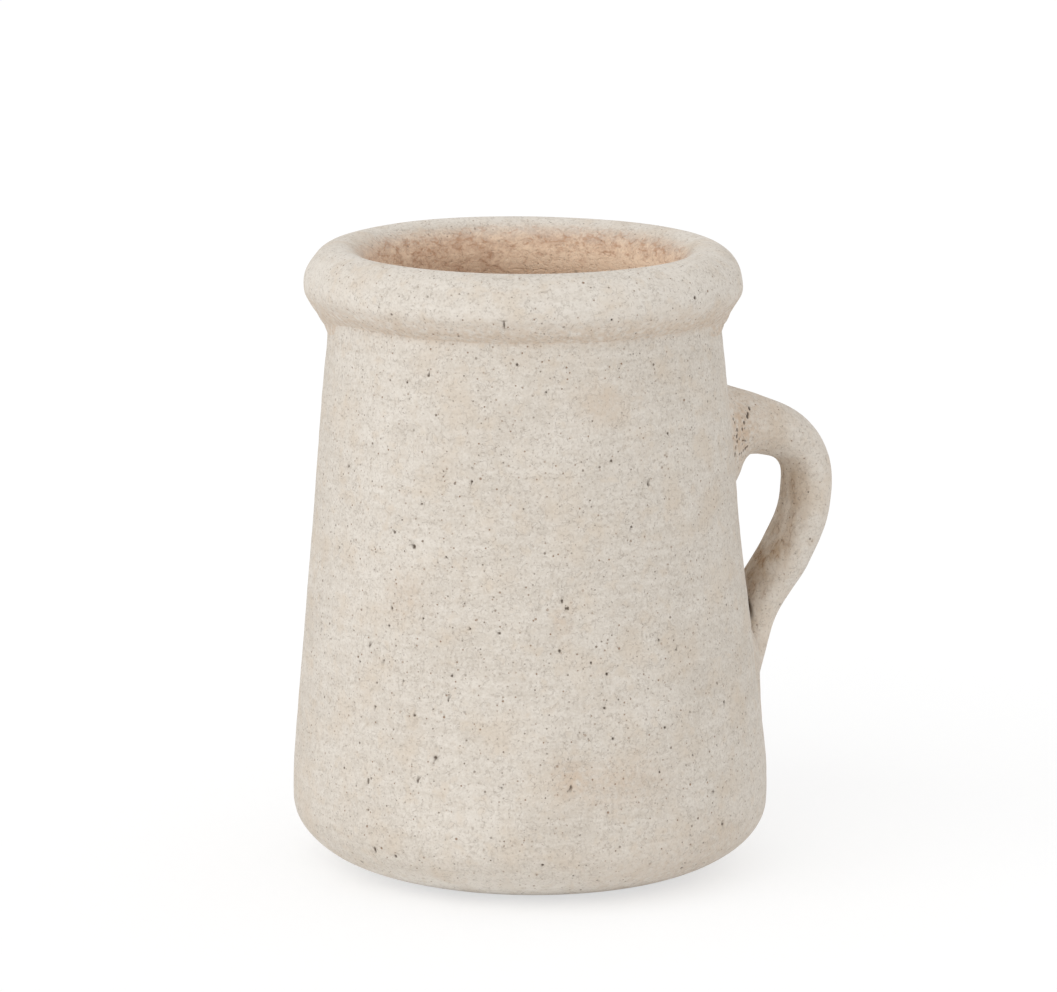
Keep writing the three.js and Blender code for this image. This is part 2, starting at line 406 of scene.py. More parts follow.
PIT_REACH = 0.0022  # the mesh is made finer this far round a pit
PIT_CUTS = 5
PIT_DEPTH = 0.0007
PIT_LIP = 1.25  # the slope of a pit starts this much outside its dark mouth
PIT_EDGE = (0.5, 1.15)  # and the dark fades out between these shares of the mouth


def sink_pits(piece, pits, laid_out):
    """Opens pits of (place, width, height). A pit's place, and a mesh point's from laid_out, are
    on the same drawing."""
    drawing = KDTree(len(pits))
    for number, (place, _, _) in enumerate(pits):
        drawing.insert(place, number)
    drawing.balance()

    def near_pit(point):
        return drawing.find(laid_out(point))[2] < PIT_REACH

    def mouth(point):
        """Distance from the nearest pit's middle, as a share of its mouth."""
        spot = laid_out(point)
        place, number, _ = drawing.find(spot)
        _, width, height = pits[number]
        across, along = (spot - place).xy
        return math.hypot(across / width, along / height) * 2

    pick(piece, near_pit)
    bpy.ops.mesh.subdivide(number_cuts=PIT_CUTS)
    bpy.ops.object.mode_set(mode="OBJECT")
    group = weigh(piece, "pits", lambda point: 1 - fade(mouth(point), 0, PIT_LIP))
    paint(piece, "pit", lambda point: 1 - fade(mouth(point), *PIT_EDGE))
    finish_with(piece, "DISPLACE", strength=-PIT_DEPTH, mid_level=0, vertex_group=group)
    piece.vertex_groups.clear()


def paint(piece, layer, strength):
    """Keeps a mark at every point of the mesh, 0 for none, for the material to read."""
    marks = piece.data.attributes.new(layer, "FLOAT", "POINT")
    for vertex, mark in zip(piece.data.vertices, marks.data):
        mark.value = strength(vertex.co)


FOOT_FLAT = (0.0005, 0.008)  # the foot stays flat up to here, and is as uneven as the rest here

body = throw("thrown_body", outside_profile() + inside_profile())
bpy.ops.mesh.merge(type="CENTER")
bpy.ops.object.mode_set(mode="OBJECT")
pick(body, lambda point: point.z < TOUCHING)
for start, end in ((FOOT_RADIUS, FOOT_RING), (FOOT_RING, MIDDLE_RING)):
    pull_ring((start, 0), (end, 0))
bpy.ops.mesh.merge(type="CENTER")
bpy.ops.object.mode_set(mode="OBJECT")
tidy_mesh(body)
smooth_form(body)
above_foot = weigh(body, "above the foot", lambda point: fade(point.z, *FOOT_FLAT))
make_uneven_as_thrown(body, above_foot)
body.vertex_groups.clear()
press(body, turn=15, breadth=45, height=0.040, reach=0.026, depth=-0.0007)
press(body, turn=20, breadth=30, height=0.115, reach=0.035, depth=0.0005)
press(body, turn=200, breadth=30, height=0.177, reach=0.012, depth=0.0003)

# The pits that the camera sees, by turn in degrees, height, width and length in millimetres
SEEN_PITS = (
    (141, 120, 1.7, 1.5), (75, 140, 1.4, 1.3), (138, 176, 1.0, 0.9), (145, 173, 0.8, 0.8),
    (112, 181, 0.9, 0.9), (104, 172, 0.9, 0.8), (167, 142, 1.0, 1.0), (154, 85, 1.0, 1.0),
    (117, 94, 1.1, 0.7), (86, 149, 0.9, 0.9), (81, 127, 0.9, 0.8), (100, 102, 0.9, 0.9),
    (90, 80, 1.0, 1.0), (91, 69, 1.0, 0.9), (133, 52, 1.4, 1.1), (152, 41, 0.8, 2.4),
    (150, 18, 0.8, 2.2), (158, 11, 1.1, 1.0), (139, 65, 1.0, 0.9), (130, 71, 0.9, 0.9),
    (100, 44, 1.0, 0.9), (60, 36, 1.1, 0.9), (57, 24, 1.2, 0.9), (68, 11, 1.1, 0.8),
    (107, 18, 0.9, 0.8), (101, 104.5, 0.8, 1.6), (99.5, 102, 0.8, 1.2), (147, 99, 0.8, 1.3),
    (147.7, 93, 1.1, 0.8), (94, 84, 0.8, 0.9),
)
SEEN_PIT_SIZE = 1.2  # their mouths are this much wider, because the dark fades out at the edge
# The rest are scattered over the wall, a gap apart
MORE_PITS = 66
MORE_PITS_SEED = 12
PIT_GAP = 0.007
PIT_TURNS = (24, 336)
PIT_HEIGHTS = (0.012, 0.178)
PIT_WIDTHS = (0.0007, 0.0012)
PIT_SHAPES = (0.7, 1.3)  # height over width


def drawn_pit(turn, height, width, length):
    """A pit on the drawing, from a turn in degrees and sizes in millimetres."""
    place = Vector((math.radians(turn) * BELLY_RADIUS, height / 1000, 0))
    return place, width / 1000, length / 1000


def body_pits():
    """The pits that are seen, and a seeded scatter over the rest, clear of the handle."""
    pits = [drawn_pit(turn, height, SEEN_PIT_SIZE * width, SEEN_PIT_SIZE * length)
            for turn, height, width, length in SEEN_PITS]
    chance = random.Random(MORE_PITS_SEED)
    while len(pits) < len(SEEN_PITS) + MORE_PITS:
        turn = chance.uniform(*PIT_TURNS)
        height = chance.uniform(*PIT_HEIGHTS)
        place = Vector((math.radians(turn) * BELLY_RADIUS, height, 0))
        width = chance.uniform(*PIT_WIDTHS)
        if min((place - other).length for other, _, _ in pits) > PIT_GAP:
            pits.append((place, width, width * chance.uniform(*PIT_SHAPES)))
    return pits


sink_pits(body, body_pits(), unrolled)


# Where red clay shows through the wash: turn, height, breadth in degrees, reach and strength
STAINS = (
    (99, 0.046, 9, 0.011, 0.8), (88, 0.044, 22, 0.014, 0.5), (101, 0.098, 4, 0.010, 0.55),
    (143, 0.104, 11, 0.012, 0.4), (88, 0.168, 14, 0.012, 0.4), (62, 0.004, 55, 0.032, 0.55),
    (0, 0.141, 42, 0.026, 0.5),
)
STAIN_UNDER_RIM = 0.4
STAIN_HEIGHT = 0.0025  # down from the rim
HEEL_PAINTED_LIGHT = 2.8  # painted light on the heel, where it turns down into shade
HEEL_PAINTED_LIGHT_HEIGHTS = (0.001, 0.021)
# Painted light on the wall just under the rim, where the roll's overhang shades it
UNDER_RIM_PAINTED_LIGHT = 0.5
UNDER_RIM_PAINTED_LIGHT_START = 0.180
INSIDE_PAINTED_LIGHT = (0.14, 0.18)  # the bare clay is painted lighter towards the top between these heights, where the inside lies in shade
# Grime, and painted shade, where the strap's tail closes on the wall
TAIL_GRIME_AND_SHADE = 0.8
TAIL_GRIME_AND_SHADE_TURN = 5
TAIL_GRIME_AND_SHADE_BREADTH = 24
TAIL_GRIME_AND_SHADE_HEIGHT = 0.094
TAIL_GRIME_AND_SHADE_REACH = 0.016


def body_stain(point):
    """Red clay shows through under the rim and in patches."""
    marks = [strength * bell(turned_from(point, turn), breadth) * bell(point.z - height, reach)
             for turn, height, breadth, reach, strength in STAINS]
    under_rim = fade(point.z, SEAT_HEIGHT - STAIN_HEIGHT, SEAT_HEIGHT)
    return max(STAIN_UNDER_RIM * under_rim, *marks)


def body_painted_light(point):
    """Painted light, where the surface lies in shade: outside, low on the heel and a little under
    the rim, and on the bare clay inside.
    """
    if is_inside(point):
        return fade(point.z, *INSIDE_PAINTED_LIGHT)
    painted_light_share = 1 - fade(point.z, *HEEL_PAINTED_LIGHT_HEIGHTS)
    return HEEL_PAINTED_LIGHT * painted_light_share + UNDER_RIM_PAINTED_LIGHT * fade(point.z, UNDER_RIM_PAINTED_LIGHT_START, SEAT_HEIGHT)


def body_grime_and_shade(point):
    """Grime, and painted shade, where the strap closes on the wall."""
    return (TAIL_GRIME_AND_SHADE * bell(point.z - TAIL_GRIME_AND_SHADE_HEIGHT, TAIL_GRIME_AND_SHADE_REACH)
            * bell(turned_from(point, TAIL_GRIME_AND_SHADE_TURN), TAIL_GRIME_AND_SHADE_BREADTH))


paint(body, "bare", lambda point: 1 if is_inside(point) and point.z > floor_top / 2 else 0)
paint(body, "stain", body_stain)
# The thick mark on the body is painted light
paint(body, "thick", body_painted_light)
paint(body, "grime_and_shade", body_grime_and_shade)
shade_smooth(body)


# The colours of the finish, as linear light
WASH_LIGHT = (0.775, 0.721, 0.650, 1)
WASH_DARK = (0.600, 0.539, 0.466, 1)
# Painted light: the wash where the heel and the strap's tail lie in shade
PAINTED_LIGHT_WASH = (0.900, 0.850, 0.780, 1)
THIN_WASH = (0.665, 0.565, 0.455, 1)
STAIN = (0.610, 0.480, 0.365, 1)
BARE_LIGHT = (0.920, 0.725, 0.545, 1)
BARE_DARK = (0.540, 0.335, 0.220, 1)
# Grime, and painted shade on the strap's side that faces the wall
GRIME_AND_SHADE = (0.640, 0.520, 0.400, 1)
GREY_GRIT = (0.215, 0.170, 0.130, 1)
RUST_GRIT = (0.290, 0.175, 0.105, 1)
HAIRLINE = (0.400, 0.340, 0.280, 1)
# The dark of the pits, and the painted shadow in the strap's crevice
PIT_DARK_AND_CREVICE_SHADOW = (0.105, 0.075, 0.052, 1)


def calc(tree, operation, *feeds):
    """One sum: an output of a Math node."""
    return add_node(tree, "Math", dict(enumerate(feeds)), operation=operation).outputs[0]


def patches(tree, place, size, detail=2, stretch=(1, 1, 1), turned=(0, 0, 0)):
    """Soft random patches about that size across, lying round a half."""
    laid = add_node(tree, "Mapping", {"Vector": place, "Rotation": turned, "Scale": stretch})
    return add_node(tree, "TexNoise", {"Vector": laid.outputs[0], "Scale": 1 / size,
                                       "Detail": detail}).outputs[0]


def between(tree, value, start, end):
    """0 up to start, 1 from end on, easing between them."""
    return add_node(tree, "MapRange", {"Value": value, "From Min": start, "From Max": end},
                    interpolation_type="SMOOTHSTEP").outputs[0]


def mark_of(tree, layer):
    """A mark that was painted on the piece."""
    return add_node(tree, "Attribute", attribute_name=layer).outputs["Fac"]


def blend(tree, share, first, second, way="MIX"):
    """The first colour where the share is 0, the second where it is 1."""
    return add_node(tree, "Mix", {"Factor": share, 6: first, 7: second},
                    data_type="RGBA", blend_type=way).outputs[2]


def grit(tree, place, spacing, radius, share):
    """Grains in the clay: how much of a grain shows at each point, and a chance number that is
    the same all over a grain."""
    grains = add_node(tree, "TexVoronoi", {"Vector": place, "Scale": 1 / spacing})
    chance = add_node(tree, "SeparateColor", {"Color": grains.outputs["Color"]})
    near = between(tree, grains.outputs["Distance"], radius / spacing, 0.4 * radius / spacing)
    shown = calc(tree, "LESS_THAN", chance.outputs[0], share)
    strength = calc(tree, "MULTIPLY_ADD", chance.outputs[1], 0.6, 0.4)
    return calc(tree, "MULTIPLY", calc(tree, "MULTIPLY", near, shown), strength), chance.outputs[2]


def contours(tree, place, size, width, detail=1, stretch=(1, 1, 1)):
    """Thin crooked lines that wander over the surface, like those on a map of low hills."""
    level = patches(tree, place, size, detail, stretch)
    away = calc(tree, "ABSOLUTE", calc(tree, "SUBTRACT", level, 0.5))
    return between(tree, away, width, 0)


def add_up(tree, base, layers):
    """A value, with every layer times its weight added to it."""
    for layer, weight in layers:
        base = calc(tree, "MULTIPLY_ADD", layer, weight, base)
    return base


def sway(tree, base, layers):
    """A value, moved up and down by weighted patterns that lie round a half."""
    return add_up(tree, base, [(calc(tree, "SUBTRACT", layer, 0.5), weight)
                               for layer, weight in layers])


def lime_wash(tree, place, tone):
    """The wash: pale where it is thick, lighter still where light is painted in, thin in patches,
    with the red clay staining it.
    """
    wash = blend(tree, between(tree, tone, 0.0, 1.0), WASH_DARK, WASH_LIGHT)
    # Painted light: lighter still where the thick mark goes past 1, on the heel and the strap's
    # tail, which lie in shade
    painted_light_share = between(tree, mark_of(tree, "thick"), 1.0, 2.6)
    wash = blend(tree, painted_light_share, wash, PAINTED_LIGHT_WASH)
    thin = between(tree, patches(tree, place, 0.015, detail=4), 0.48, 0.74)
    wash = blend(tree, calc(tree, "MULTIPLY", thin, 0.5), wash, THIN_WASH)
    small_thin = between(tree, patches(tree, place, 0.0048, detail=3), 0.52, 0.72)
    wash = blend(tree, calc(tree, "MULTIPLY", small_thin, 0.4), wash, THIN_WASH)
    patchy = between(tree, patches(tree, place, 0.0019, detail=4), 0.20, 0.68)
    stained = calc(tree, "MULTIPLY", mark_of(tree, "stain"), patchy)
    return blend(tree, stained, wash, STAIN)


def bare_clay(tree, place, wash, cloud, grain):
    """The wash, worn away to rubbed clay with veins and fibres where the piece is bare. The
    second output is the veins."""
    scrapes = patches(tree, place, 0.0022, detail=4, stretch=(0.6, 0.6, 1), turned=(0.4, 0.3, 0))
    veins = contours(tree, place, 0.0042, 0.045, detail=2, stretch=(0.7, 0.7, 1))
    fibres = contours(tree, place, 0.0030, 0.055, detail=2, stretch=(0.5, 0.5, 1))
    fibres = calc(tree, "MULTIPLY", fibres, between(tree, scrapes, 0.62, 0.42))
    # The thick mark lightens the bare clay: painted light inside the body and the rim, where it
    # lies in shade, and just over the rim's edge it darkens it
    tone = calc(tree, "MULTIPLY_ADD", mark_of(tree, "thick"), 0.35, 0.58)
    tone = sway(tree, tone, ((cloud, 0.6), (scrapes, 1.0), (grain, 0.7)))
    tone = add_up(tree, tone, ((veins, -0.12), (fibres, -0.30)))
    clay = blend(tree, between(tree, tone, 0.0, 1.0), BARE_DARK, BARE_LIGHT)
    bare = mark_of(tree, "bare")
    worn = sway(tree, bare, ((scrapes, 0.45),))
    worn = add_up(tree, worn, ((fibres, 0.25),))
    rubbed_off = blend(tree, between(tree, bare, 0, 0.3), wash, clay)
    return blend(tree, between(tree, worn, -0.05, 1.05), wash, rubbed_off), veins


def rub_in_grime_and_shade(tree, place, colour):
    """Grime and painted shade, smeared along the piece, with rusty scratches in it."""
    grime_and_shade = mark_of(tree, "grime_and_shade")
    rubbed = patches(tree, place, 0.004, detail=4, stretch=(1, 1, 0.4))
    smeared = calc(tree, "MULTIPLY_ADD", between(tree, rubbed, 0.32, 0.62), 0.65, 0.3)
    colour = blend(tree, calc(tree, "MULTIPLY", grime_and_shade, smeared), colour, GRIME_AND_SHADE, way="MULTIPLY")
    scratches = calc(tree, "MULTIPLY",
                     contours(tree, place, 0.0030, 0.05, detail=2, stretch=(1, 1, 0.4)),
                     between(tree, rubbed, 0.45, 0.6))
    return blend(tree, calc(tree, "MULTIPLY", grime_and_shade, calc(tree, "MULTIPLY", scratches, 0.8)),
                 colour, RUST_GRIT)


def show_grit(tree, place, colour):
    """Pores, grit of three sizes, grey or rusty, and hairlines, fainter on bare clay, and the
    dark of the pits, and the painted shadow of the strap's crevice. The second output is the
    layers and their weights in the relief."""
    pores = between(tree, patches(tree, place, 0.0011, detail=1), 0.44, 0.26)
    fine, _ = grit(tree, place, 0.0013, 0.00026, 0.7)
    medium, hue = grit(tree, place, 0.0021, 0.00040, 0.75)
    coarse, coarse_hue = grit(tree, place, 0.0052, 0.00058, 0.65)
    rusty = blend(tree, between(tree, hue, 0.30, 0.50), GREY_GRIT, RUST_GRIT)
    coarse_rusty = blend(tree, between(tree, coarse_hue, 0.4, 0.6), GREY_GRIT, RUST_GRIT)
    hairs = calc(tree, "MULTIPLY", contours(tree, place, 0.0024, 0.030),
                 between(tree, patches(tree, place, 0.0036, detail=1), 0.47, 0.58))
    on_wash = calc(tree, "MULTIPLY_ADD", mark_of(tree, "bare"), -0.75, 1)
    for layer, weight, tint in ((pores, 0.30, HAIRLINE), (fine, 0.50, GREY_GRIT),
                                (medium, 0.95, rusty), (coarse, 0.95, coarse_rusty),
                                (hairs, 0.30, HAIRLINE)):
        shown = calc(tree, "MULTIPLY", calc(tree, "MULTIPLY", layer, weight), on_wash)
        colour = blend(tree, shown, colour, tint)
    # The pit mark also carries the painted shadow of the strap's crevice
    pit = calc(tree, "MULTIPLY", mark_of(tree, "pit"), 0.92)
    relief = ((medium, -0.6), (coarse, -1.0), (fine, -0.3), (hairs, -0.3), (pores, -0.4))
    return blend(tree, pit, colour, PIT_DARK_AND_CREVICE_SHADOW), relief


def limewashed_clay(name):
    """Chalky wash, brushed thinly over coarse red clay. Marks painted on a piece say where the
    wash is missing, thick, stained or grimy, where painted light and painted shade go, and where
    the pits are."""
    clay = bpy.data.materials.new(name)
    clay.use_nodes = True
    tree = clay.node_tree
    surface = tree.nodes["Principled BSDF"]
    place = add_node(tree, "TexCoord").outputs["Object"]

    drift = patches(tree, place, 0.045, detail=1)
    cloud = patches(tree, place, 0.013)
    mottle = patches(tree, place, 0.0028)
    grain = patches(tree, place, 0.0008, detail=3)
    strokes = patches(tree, place, 0.0022, stretch=(0.09, 0.09, 1))
    # The thick mark lightens the wash: thicker wash on the rim, the root clay and the strap, and
    # painted light on the heel, under the rim and above the strap's tail, where they lie in shade
    tone = calc(tree, "MULTIPLY_ADD", mark_of(tree, "thick"), 0.22, 0.5)
    tone = sway(tree, tone, ((drift, 0.5), (cloud, 0.35), (mottle, 0.5), (grain, 1.05),
                             (strokes, 0.55)))
    wash = lime_wash(tree, place, tone)
    colour, veins = bare_clay(tree, place, wash, cloud, grain)
    colour = rub_in_grime_and_shade(tree, place, colour)
    colour, grit_relief = show_grit(tree, place, colour)
    tree.links.new(colour, surface.inputs["Base Color"])

    relief = calc(tree, "MULTIPLY", mottle, 0.5)
    relief = add_up(tree, relief, ((grain, 0.5), (strokes, 0.3), *grit_relief, (veins, -0.2)))
    bump = add_node(tree, "Bump", {"Height": relief, "Distance": 0.0004, "Strength": 0.7})
    tree.links.new(bump.outputs[0], surface.inputs["Normal"])
    dull = add_node(tree, "MapRange", {"Value": tone, "To Min": 0.98, "To Max": 0.82})
    tree.links.new(dull.outputs[0], surface.inputs["Roughness"])
    surface.inputs["Specular IOR Level"].default_value = 0.3
    return clay


washed = limewashed_clay("limewashed clay")
body.data.materials.append(washed)
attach(body, "root")
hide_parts("body_wall", "base_floor")


# Rolled rim
# The top of the wall is folded outwards into a fat roll. Its underside is pinched in against the
# wall with a fingertip, which leaves a crease that wanders up and down.
ROLL_RADIUS = 0.0617
ROLL_HALF_WIDTH = 0.0113
ROLL_HALF_HEIGHT = 0.0127
UNDERSIDE_RISE = 0.0085  # from the crease up to where the roll is widest
UNDERSIDE_BEND = 1.6  # how round it is on the way: 1 is straight
PINCH_TURN = -68  # degrees round the roll, from outwards: where its outer and inner sides end
FOLD_TURN = 217
ROLL_TURN = 15
SKIRT = 0.0085  # its clay runs this far down inside the wall
# How far the skirt lies behind the wall's outside and below the seat, then how far it lies out
# from the wall's inside and above the seat
OUTER_SKIRT = ((0.0022, SKIRT), (0.0006, 0.0070), (0.0005, 0.0035), (0.0004, 0.0004))
INNER_SKIRT = ((-0.0010, 0.0006), (0.0002, -0.0010), (0.0025, -0.0040), (0.0030, -SKIRT))

rim_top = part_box("rolled_rim")[1].z
roll_height = rim_top - ROLL_HALF_HEIGHT


def rim_profile():
    """Up the outer skirt, over the roll, and down the inner skirt."""
    roll = []
    for turn in range(PINCH_TURN, FOLD_TURN + 1, ROLL_TURN):
        angle = math.radians(turn)
        radius = ROLL_RADIUS + ROLL_HALF_WIDTH * math.cos(angle)
        z = roll_height + ROLL_HALF_HEIGHT * math.sin(angle)
        if turn < 0:
            out = (radius - NECK_RADIUS) / (ROLL_RADIUS + ROLL_HALF_WIDTH - NECK_RADIUS)
            z = max(z, SEAT_HEIGHT + UNDERSIDE_RISE * out ** UNDERSIDE_BEND)
        roll.append((radius, z))
    outer_skirt = [(body_radius(SEAT_HEIGHT - down) - hidden, SEAT_HEIGHT - down)
                   for hidden, down in OUTER_SKIRT]
    inner_skirt = [(NECK_RADIUS - WALL_THICKNESS + out, SEAT_HEIGHT + up)
                   for out, up in INNER_SKIRT]
    return outer_skirt + roll + inner_skirt


rim = throw("rolled_rim_clay", rim_profile())
bpy.ops.object.mode_set(mode="OBJECT")
pick(rim, lambda point: point.z < SEAT_HEIGHT - SKIRT + TOUCHING)
bpy.ops.mesh.bridge_edge_loops()
bpy.ops.object.mode_set(mode="OBJECT")
tidy_mesh(rim)
smooth_form(rim)
make_uneven_as_thrown(rim)

# On the far side from the handle the roll sags, swells over the crease and is flatter on top
press(rim, turn=205, breadth=42, height=0.188, reach=0.016, depth=0.0043, way="Z")
press(rim, turn=212, breadth=45, height=0.1832, reach=0.0045, depth=-0.0020)
press(rim, turn=200, breadth=75, height=0.199, reach=0.015, depth=-0.0005)
press(rim, turn=200, breadth=60, height=0.205, reach=0.006, depth=0.0007)
# Above the handle it sags and swells too
press(rim, turn=14, breadth=42, height=0.188, reach=0.016, depth=0.0037, way="Z")
press(rim, turn=14, breadth=45, height=0.1838, reach=0.0045, depth=-0.0017)
press(rim, turn=14, breadth=42, height=0.1905, reach=0.006, depth=0.0005)

# Turn in degrees, height, width and length in millimetres
RIM_PITS = ((115, 195, 0.7, 3.4), (60, 200, 1.5, 1.4), (146, 196, 0.9, 0.9), (87, 196, 0.9, 0.9),
            (128, 190, 0.9, 0.8), (78, 190, 0.8, 0.8), (235, 197, 1.1, 0.9), (310, 193, 0.9, 0.9))
sink_pits(rim, [drawn_pit(*pit) for pit in RIM_PITS], unrolled)


def round_the_roll(point):
    """Degrees round the roll: 0 outwards, 90 at the crown, 180 inwards."""
    radius = turn_and_radius(point)[1]
    return math.degrees(math.atan2(point.z - roll_height, radius - ROLL_RADIUS)) % 360


CREASE_STAIN = 0.74
CREASE_STAIN_HEIGHTS = (0.1885, 0.2000)  # it fades out upwards between these
RIM_PAINTED_LIGHT = 1.8  # painted light on the bare clay below the edge, where the inside lies in shade, and how much less of it in one place
RIM_PAINTED_LIGHT_LESS = 1.3
RIM_PAINTED_LIGHT_LESS_TURN = 262
RIM_PAINTED_LIGHT_LESS_BREADTH = 66
DARK_EDGE = 1.3  # how much darker the edge is
# Degrees round the roll between which the edge darkens, painted light comes in on the clay, more
# painted light comes in below, the wash ends inside, and the wash starts again outside
DARKENS = (95, 128)
RIM_PAINTED_LIGHT_ROUND = (140, 195)
RIM_MORE_PAINTED_LIGHT_ROUND = (195, 225)
WASH_ENDS = (98, 170)
WASH_STARTS = (250, 280)


def rim_stain(point):
    """Red clay shows through in the crease, and faintly up the underside of the roll."""
    if 90 < round_the_roll(point) < 250:
        return 0
    return CREASE_STAIN * (1 - fade(point.z, *CREASE_STAIN_HEIGHTS))


def rim_wash_and_painted_light(point):
    """Inside, the clay is darker just over the edge, and painted lighter further down, where the
    inside lies in shade.
    """
    around = round_the_roll(point)
    if around < 90 or around > 270:
        return 1
    pale = RIM_PAINTED_LIGHT - RIM_PAINTED_LIGHT_LESS * bell(turned_from(point, RIM_PAINTED_LIGHT_LESS_TURN), RIM_PAINTED_LIGHT_LESS_BREADTH)
    over_the_edge = 1 - DARK_EDGE * fade(around, *DARKENS)
    return over_the_edge + pale * fade(around, *RIM_PAINTED_LIGHT_ROUND) + fade(around, *RIM_MORE_PAINTED_LIGHT_ROUND)


def rim_bare(point):
    """The wash goes over the crown and thins out inside."""
    around = round_the_roll(point)
    return fade(around, *WASH_ENDS) * (1 - fade(around, *WASH_STARTS))


paint(rim, "bare", rim_bare)
paint(rim, "stain", rim_stain)
# Inside the rim the thick mark is painted light
paint(rim, "thick", rim_wash_and_painted_light)
shade_smooth(rim)
rim.data.materials.append(washed)
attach(rim, "root")
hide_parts("rolled_rim")


# Pulled handle
# A strap of clay, pulled between wet fingers: thick and round at its root, thinner at its tail.
# Its root is pushed against the wall, and its tail is pressed down onto it.
HANDLE_ROOT = 0.143
HANDLE_DROP = 0.095
HANDLE_REACH = 0.0294
STRAP_SIDES = 24
STRAP_STEPS = 40
# The strap's middle line: share of the reach out from the wall, then share of the drop
HANDLE_ROUTE = (
    (-0.14, -0.02),
    (0.43, -0.014),
    (0.96, 0.076),
    (1, 0.255),
    (0.72, 0.44),
    (0.26, 0.635),
    (0.052, 0.82),
    (-0.07, 0.94),
    (-0.16, 1.03),
)
ROOT_SIZE = (0.0216, 0.028)  # thickness and width
STRAP_SIZE = (0.0162, 0.0245)
TAIL_SIZE = (0.007, 0.027)
ROOT_TAPER_END = 0.35  # shares of its length
TAIL_TAPER_START = 0.6
ROUTE_STEPS = 24


def strap_route():
    """A curve through the route's points, in the plane of the handle."""
    bpy.ops.object.select_all(action="DESELECT")
    bpy.ops.curve.primitive_bezier_curve_add()
    route = bpy.context.object
    route.name = "route"
    route.data.twist_mode = "MINIMUM"
    route.data.resolution_u = ROUTE_STEPS
    spline = route.data.splines[0]
    spline.bezier_points.add(len(HANDLE_ROUTE) - len(spline.bezier_points))
    for point, (out, down) in zip(spline.bezier_points, HANDLE_ROUTE):
        z = HANDLE_ROOT - down * HANDLE_DROP
        point.co = (body_radius(z) + out * HANDLE_REACH - LEAN * z, 0, z)
        point.handle_left_type = "AUTO"
        point.handle_right_type = "AUTO"
    return route


def strap_size(share):
    """Half thickness and half width at a share of the strap's length."""
    root = 1 - fade(share, 0, ROOT_TAPER_END)
    tail = fade(share, TAIL_TAPER_START, 1)
    return tuple((strap + (at_root - strap) * root + (at_tail - strap) * tail) / 2
                 for at_root, strap, at_tail in zip(ROOT_SIZE, STRAP_SIZE, TAIL_SIZE))


def lay_along_route(name, rings):
    """A closed tube round the strap's line. A ring is its distance along the line, its half
    thickness, its half width, and how far it is lowered."""
    bpy.ops.object.select_all(action="DESELECT")
    bpy.ops.mesh.primitive_circle_add(vertices=STRAP_SIDES, radius=1, fill_type="NOTHING",
                                      location=(rings[0][0], 0, 0), rotation=(0, math.pi / 2, 0))
    tube = bpy.context.object
    tube.name = name
    bpy.ops.object.transform_apply()
    bpy.ops.object.mode_set(mode="EDIT")
    bpy.ops.mesh.select_all(action="SELECT")
    place, thick, wide, lowered = 0, 1, 1, 0
    for number, (next_place, next_thick, next_wide, next_lowered) in enumerate(rings):
        if number:
            bpy.ops.mesh.extrude_region_move(TRANSFORM_OT_translate={
                "value": (next_place - place, 0, 0)})
        bpy.ops.transform.resize(value=(1, next_wide / wide, next_thick / thick),
                                 center_override=(next_place, 0, -lowered))
        bpy.ops.transform.translate(value=(0, 0, lowered - next_lowered))
        place, thick, wide, lowered = next_place, next_thick, next_wide, next_lowered
    bpy.ops.object.mode_set(mode="OBJECT")
    return tube


def bend_along(piece, route):
    finish_with(piece, "CURVE", object=route, deform_axis="POS_X")


def smooth_and_shade(piece):
    """One skin, made smooth."""
    tidy_mesh(piece)
    smooth_form(piece)
    shade_smooth(piece)


THUMB_SIZE = 0.018  # the dents that thumbs and fingers leave
THUMB_DEPTH = 0.0006

route = strap_route()
route_length = route.data.splines[0].calc_length()
strap_rings = []
for step in range(STRAP_STEPS + 1):
    share = step / STRAP_STEPS
    strap_rings.append((share * route_length, *strap_size(share), 0))
strap = lay_along_route("pulled_strap", strap_rings)
for end in (0, route_length):
    pick(strap, lambda point: abs(point.x - end) < TOUCHING)
    bpy.ops.mesh.edge_face_add()
bpy.ops.object.mode_set(mode="OBJECT")


# Marks on the strap: how strong they are, and between which shares of its length they change
INNER_SIDE = (0.001, 0.0065)  # metres from the middle line towards the jug
# Grime, and painted shade, on the strap's side that faces the jug
FIRST_GRIME_AND_SHADE = 0.6
FIRST_GRIME_AND_SHADE_GROWS = (0.15, 0.35)
MORE_GRIME_AND_SHADE = 0.35
MORE_GRIME_AND_SHADE_GROWS = (0.5, 0.6)
GRIME_AND_SHADE_ENDS = (0.66, 0.74)
ROOT_STAIN = 0.6
ROOT_STAIN_ENDS = (0.05, 0.25)
TAIL_STAIN = 0.4
TAIL_STAIN_GROWS = (0.6, 0.85)
LEAST_STAIN = 0.12
STRAP_WASH = 0.6
# Painted light above the tail, where the strap's side lies in shade by the wall
TAIL_PAINTED_LIGHT = 1.5
TAIL_PAINTED_LIGHT_PLACE = 0.77
TAIL_PAINTED_LIGHT_BREADTH = 0.16
# Painted shadow in the crevice where the bent strap closes on the wall
CREVICE_SHADOW = 1.15
CREVICE_SHADOW_HEIGHT = 0.0832
CREVICE_SHADOW_REACH = 0.0065
CREVICE_SHADOW_OFF_WALL = (0.0026, 0.0038)


